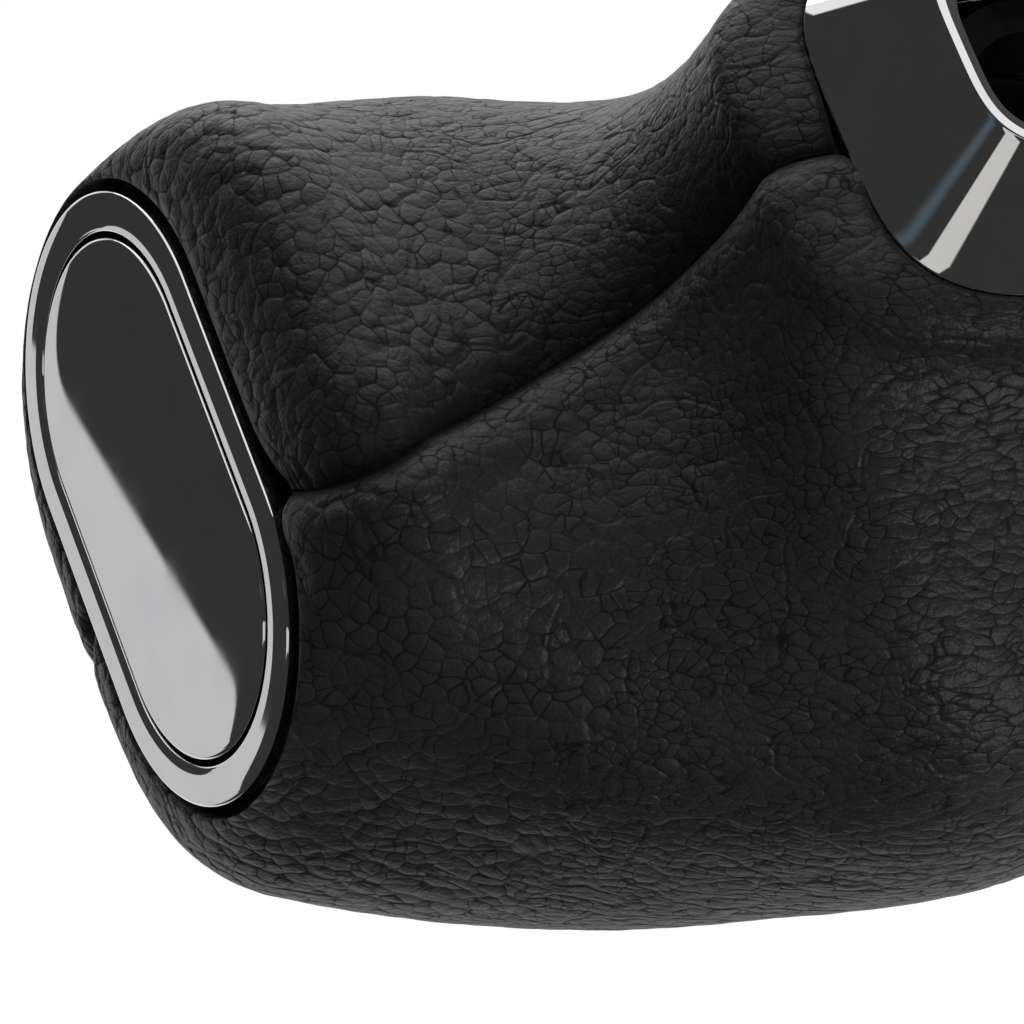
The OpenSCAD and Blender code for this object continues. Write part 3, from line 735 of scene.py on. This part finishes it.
# two strips seen in the collar's corner, one white and one faint and bluish
white = g.math("MULTIPLY", g.ramp(along_up, -0.505, -0.485), g.ramp(along_up, -0.285, -0.305))
white = g.math("MULTIPLY", white, g.ramp(facing, 0.70, 0.76))
blue = g.math("MULTIPLY", g.ramp(along_up, -0.14, -0.04), g.ramp(along_up, 0.07, -0.04))
blue = g.math("MULTIPLY", blue, g.ramp(facing, 0.5, 0.6))
blue = g.math("MULTIPLY", blue, g.ramp(along_right, -0.35, -0.45))
strips = g.mix(blue, mirror, (0.075, 0.105, 0.125, 1))
strips = g.mix(white, strips, (0.64, 0.63, 0.60, 1))
# soft light: strong from over and behind the object, weak from beside the camera and from below
over = g.math("MULTIPLY", g.ramp(along_up, 0.0, 0.8), g.ramp(facing, -0.1, -0.8, 0.0, 3.4))
behind = g.math("MULTIPLY", g.ramp(facing, 0.0, -0.9), g.math("MULTIPLY_ADD", along_up, 0.35, 1.1))
low = tuple(unit(-0.35 * right - 0.25 * up + 0.90 * toward))
key = g.ramp(g.vec("DOT_PRODUCT", direction, low), 0.3, 1.0, 0.0, 0.26)
under = g.math("MULTIPLY", g.ramp(along_up, -0.4, -0.95), g.math("MULTIPLY_ADD", along_right, 0.6, 0.36))
soft_light = g.math("ADD", g.math("ADD", over, behind), g.math("ADD", under, g.math("ADD", key, 0.026)))
tone = g.mix(path.outputs["Is Glossy Ray"], soft_light, strips)
see = g.math("MAXIMUM", path.outputs["Is Camera Ray"], path.outputs["Is Transmission Ray"])
tone = g.mix(see, tone, (1, 1, 1, 1))
back = g.add("ShaderNodeBackground")
g.put(back, Color=tone, Strength=1.0)
g.put(g.add("ShaderNodeOutputWorld"), Surface=back.outputs[0])


def lamp(name, way, size, power, distance=0.5):
    """Soft square lamp in a direction from the knob, aimed at its middle."""
    data = bpy.data.lights.new(name, "AREA")
    data.shape, data.size, data.energy = "SQUARE", size, power
    z = unit(way)
    x = unit(np.cross((0, 0, 1) if abs(z[2]) < 0.9 else (0, 1, 0), z))
    y = np.cross(z, x)
    stand(bpy.data.objects.new(name, data), x, y, z, np.array(KNOB_MIDDLE) + z * distance)


lamp("soft_top", -0.25 * right + 0.85 * up - 0.5 * toward, size=0.35, power=0.5)
lamp("low_side", 0.80 * right - 0.45 * up + 0.34 * toward, size=0.16, power=0.55)

bpy.context.scene.view_settings.view_transform = "Standard"
